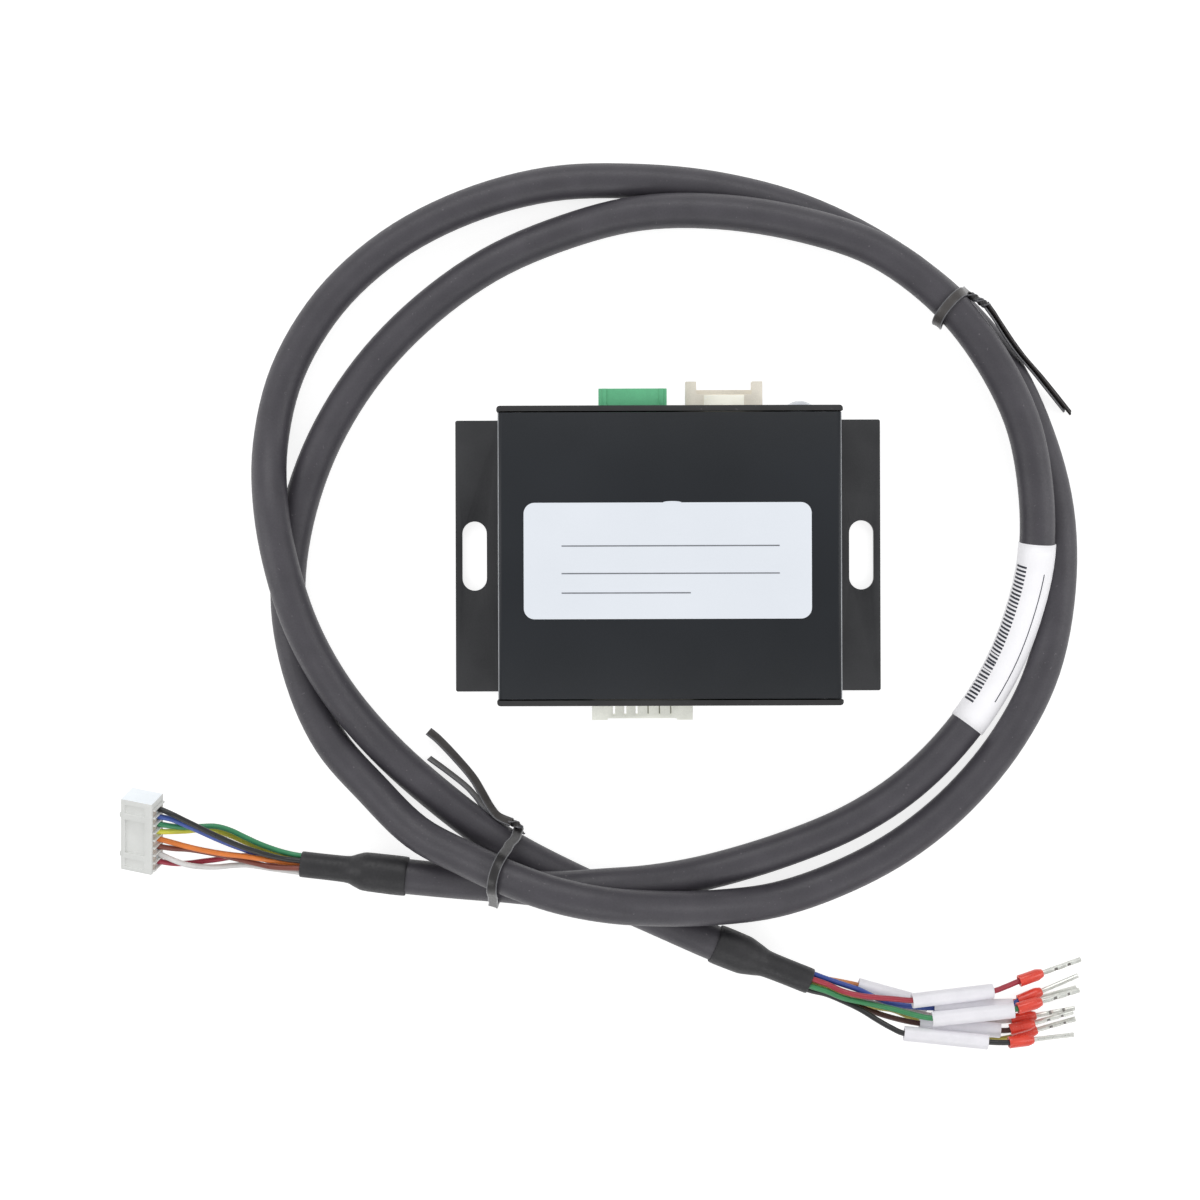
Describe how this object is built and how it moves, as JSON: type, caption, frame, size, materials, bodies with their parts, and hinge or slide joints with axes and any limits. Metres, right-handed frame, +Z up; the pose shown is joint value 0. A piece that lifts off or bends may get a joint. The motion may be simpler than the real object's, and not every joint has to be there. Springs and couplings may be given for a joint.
{
  "type": "electric gripper controller with signal cable",
  "caption": "Flat controller box for an electric two finger gripper, with eared base and end sockets, ringed by its loose signal cable with a plug and ferruled leads.",
  "frame": {"origin": "midway between the two ear slots, on the mounting plane under the box", "axes": "+X across the ears, +Y towards the end with the power and signal sockets, +Z up out of the mounting plane"},
  "size_m": [0.1721, 0.1583, 0.0203],
  "materials": {
    "enclosure_charcoal": "fine satin anodised dark charcoal",
    "panel_charcoal": "satin dark charcoal end panels",
    "screw_steel": "zinc plated countersunk screws",
    "board_green": "glass fibre circuit board with solder mask",
    "header_green": "moulded green connector body",
    "header_beige": "moulded cream connector body",
    "header_white": "moulded translucent white connector body",
    "contact_tin": "tin plated contacts",
    "lens_clear": "clear domed status lens",
    "lamp_resin": "milky lamp body",
    "chip_black": "moulded chip packages with tinned leads",
    "ferrite_grey": "shielded ferrite inductor",
    "can_aluminium": "electrolytic capacitor cans",
    "label_white": "blank coated white label film",
    "jacket_charcoal": "matte soft cable jacket",
    "boot_black": "shrunk black tubing",
    "tie_black": "plastic coated twist tie",
    "plug_white": "moulded white plug body",
    "sleeve_white": "blank white marker tubing",
    "collar_red": "salmon red ferrule collars",
    "core_black": "black insulated core",
    "core_blue": "blue insulated core",
    "core_green": "green insulated core",
    "core_yellow": "yellow insulated core",
    "core_orange": "orange insulated core",
    "core_brown": "brown insulated core",
    "core_white": "white insulated core",
    "core_red": "red insulated core"
  },
  "bodies": {
    "controller": {"lower_shell": "enclosure_charcoal", "upper_shell": "enclosure_charcoal", "power_end_panel": "panel_charcoal", "gripper_end_panel": "panel_charcoal", "panel_screws": "screw_steel", "circuit_board": "board_green", "power_header": "header_green", "power_pins": "contact_tin", "io_header": "header_beige", "io_pins": "contact_tin", "gripper_header": "header_white", "gripper_pins": "contact_tin", "status_lens": "lens_clear", "status_led": "lamp_resin", "microcontroller": "chip_black", "motor_drivers": "chip_black", "transceiver": "chip_black", "inductor": "ferrite_grey", "capacitors": "can_aluminium", "top_label": "label_white"},
    "cable": {"cable_jacket": "jacket_charcoal", "cable_label": "label_white", "plug_boot": "boot_black", "lead_boot": "boot_black", "plug_housing": "plug_white", "plug_contacts": "contact_tin", "upper_tie": "tie_black", "lower_tie": "tie_black", "ferrule_collars": "collar_red", "ferrule_pins": "contact_tin", "plug_core_black": "core_black", "lead_core_black": "core_black", "plug_core_blue": "core_blue", "lead_core_blue": "core_blue", "plug_core_green": "core_green", "lead_core_green": "core_green", "plug_core_yellow": "core_yellow", "lead_core_yellow": "core_yellow", "plug_core_orange": "core_orange", "lead_core_orange": "core_orange", "plug_core_brown": "core_brown", "lead_core_brown": "core_brown", "plug_core_white": "core_white", "lead_core_white": "core_white", "plug_core_red": "core_red", "lead_core_red": "core_red", "sleeve_blue": "sleeve_white", "sleeve_green": "sleeve_white", "sleeve_orange": "sleeve_white"},
    "red_sleeve": {"sleeve_red": "sleeve_white"},
    "brown_sleeve": {"sleeve_brown": "sleeve_white"},
    "black_sleeve": {"sleeve_black": "sleeve_white"}
  },
  "joints": [
    {"name": "cable_lift", "type": "slide", "parent": "controller", "child": "cable", "axis": [0, 0, 1], "range_m": [0, 0.05]},
    {"name": "red_sleeve_slide", "type": "slide", "parent": "cable", "child": "red_sleeve", "axis": [0.9896, 0.1017, -0.1017], "range_m": [0, 0.001]},
    {"name": "brown_sleeve_slide", "type": "slide", "parent": "cable", "child": "brown_sleeve", "axis": [0.996, -0.0893, 0], "range_m": [0, 0.001]},
    {"name": "black_sleeve_slide", "type": "slide", "parent": "cable", "child": "black_sleeve", "axis": [0.9944, -0.1061, 0], "range_m": [0, 0.003]}
  ]
}
